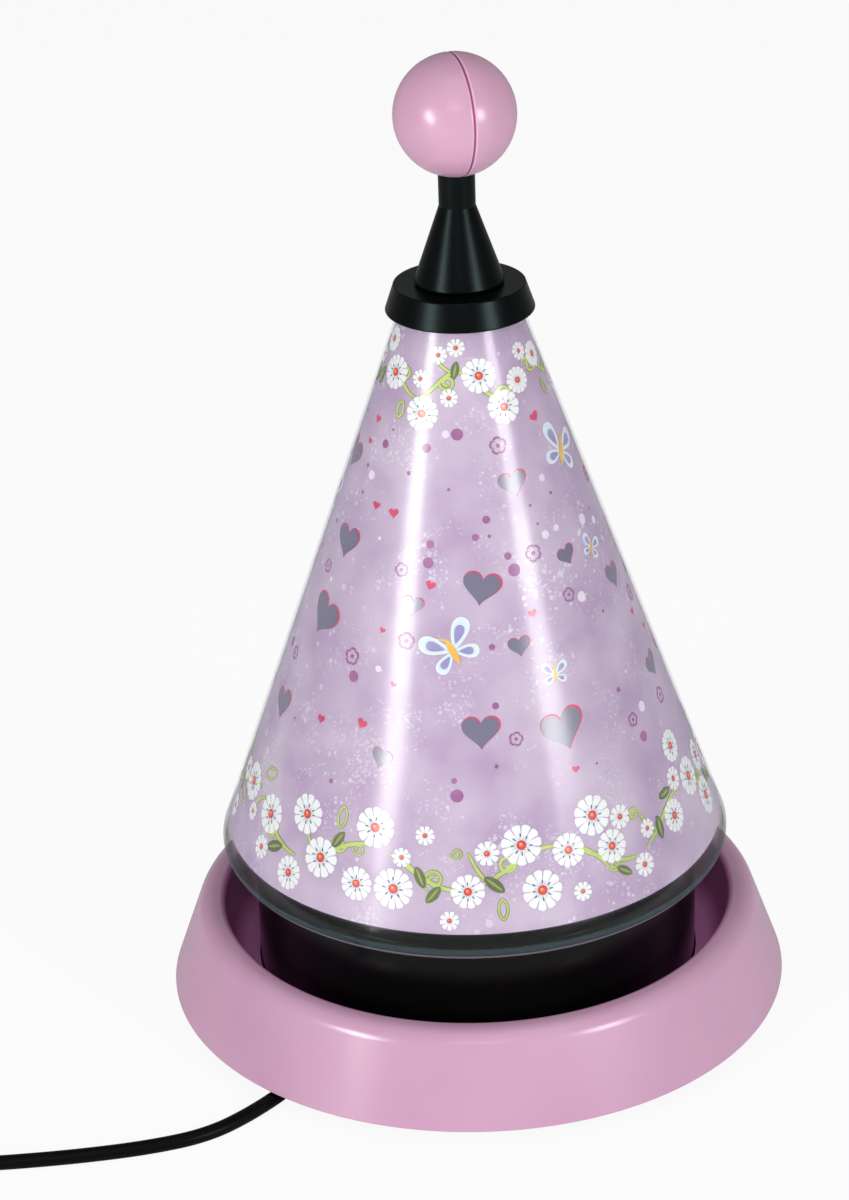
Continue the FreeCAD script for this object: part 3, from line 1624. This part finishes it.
ROUTES = {
    "mains_cord": [
        GLAND_FACE,
        (-66.9, -76.9, FLOOR),
        (-82.0, -95.0, FLOOR),
        (-97.0, -107.5, FLOOR),
        (-117.0, -114.0, FLOOR),
        (-141.0, -118.2, FLOOR),
        (-166.0, -120.8, FLOOR),
        (-180.0, -121.3, FLOOR),
        (-193.0, SWITCH_ROW, SPLIT),
        (SWITCH_NEAR, SWITCH_ROW, SPLIT),
    ],
    "cord_to_coil": [
        (SWITCH_FAR, SWITCH_ROW, SPLIT),
        (-274.0, SWITCH_ROW, SPLIT),
        (-288.0, -118.6, FLOOR),
        (-300.0, -111.0, FLOOR),
        (-308.0, -99.5, FLOOR),
        (-311.0, -86.0, FLOOR),
        (-310.6, -74.0, FLOOR),
        (-308.0, -64.0, FLOOR),
    ],
    "cord_to_plug": [
        (-287.0, -32.0, FLOOR),
        (-271.0, -29.5, FLOOR),
        (-256.0, -20.5, FLOOR),
        (-247.0, -5.5, FLOOR),
        (PLUG_ROW, 11.0, PLUG_AXIS - PLUG_DIP),
        (PLUG_ROW, number("plug_y"), PLUG_AXIS),
    ],
}


def bent_wire(points):
    """Straight runs joined by arcs that are tangent to both; returns the wire and the tightest radius."""
    edges = []
    here = points[0]
    tightest = math.inf
    for before, corner, after in zip(points, points[1:], points[2:]):
        back, ahead = before - corner, after - corner
        reach = BEND_SHARE * min(back.Length, ahead.Length)
        half_turn = (math.pi - back.getAngle(ahead)) / 2
        radius = reach / math.tan(half_turn)
        tightest = min(tightest, radius)
        back.normalize()
        ahead.normalize()
        start, end = corner + back * reach, corner + ahead * reach
        crown = corner + (back + ahead).normalize() * (radius / math.cos(half_turn) - radius)
        edges += [Part.LineSegment(here, start).toShape(), Part.Arc(start, crown, end).toShape()]
        here = end
    edges.append(Part.LineSegment(here, points[-1]).toShape())
    return Part.Wire(edges), tightest


def make_cord_run(name):
    """One run of the cord: a round section swept along its route."""
    points = [Vector(*place) for place in ROUTES[name]]
    wire, tightest = bent_wire(points)
    section = Part.Circle(points[0], points[1] - points[0], number("cord_radius")).toShape()
    shape = wire.makePipeShell([Part.Wire([section])], True, False)
    expected = math.pi * number("cord_radius") ** 2 * wire.Length
    assert abs(shape.Volume / expected - 1) < 0.01, f"{name}: volume {shape.Volume} for {expected}"
    run = doc.addObject("Part::Feature", name)
    run.Label = name
    run.Shape = shape
    subparts.append(run)
    print(f"{name}: {wire.Length:.1f} long, tightest bend {tightest:.1f}")


# ---- what is made and written --------------------------------------------------------------------

for make in (
    make_base_ring,
    make_bottom_plate,
    make_rubber_feet,
    make_plate_screws,
    make_base_drum,
    make_cord_gland,
    make_inner_lead,
    make_cord_clamp,
    make_clamp_screws,
    make_threaded_nipple,
    make_lock_nut,
    make_holder_body,
    make_holder_sleeve,
    make_holder_contact,
    make_bulb_cap,
    make_bulb_glass,
    make_needle_bow,
    make_push_nuts,
    make_needle_ferrule,
    make_pivot_needle,
    make_turbine_wheel,
    make_bearing_cup,
    make_film_cone,
    make_clear_shade,
    make_top_collar,
    make_finial,
    make_finial_screw,
):
    make()
make_ball_half("ball_half_right", "ball_seam_turn")
make_ball_half("ball_half_left", "ball_seam_turn + 180")
make_switch_shell("switch_lower", upper=False)
make_switch_shell("switch_upper", upper=True)
make_switch_rocker()
make_rocker_pin()
make_switch_screws()
make_cord_coil()
make_cord_tie()
make_plug_body()
make_plug_pins()
for name in ROUTES:
    make_cord_run(name)

doc.recompute()

for thing in doc.Objects:
    assert not {"Invalid", "Error"} & set(thing.State), f"{thing.Label}: {thing.State}"

os.makedirs("parts", exist_ok=True)
for part in subparts:
    assert not part.Shape.isNull() and part.Shape.isValid(), part.Label
    solids = len(part.Shape.Solids)
    box = part.Shape.BoundBox
    print(
        f"{part.Label:18} solids {solids}  volume {part.Shape.Volume:10.1f}"
        f"  x {box.XMin:7.1f}..{box.XMax:6.1f}  y {box.YMin:7.1f}..{box.YMax:6.1f}"
        f"  z {box.ZMin:6.2f}..{box.ZMax:6.2f}"
    )
    part.Shape.exportStep(f"parts/{part.Label}.step")
print(len(subparts), "sub-parts")
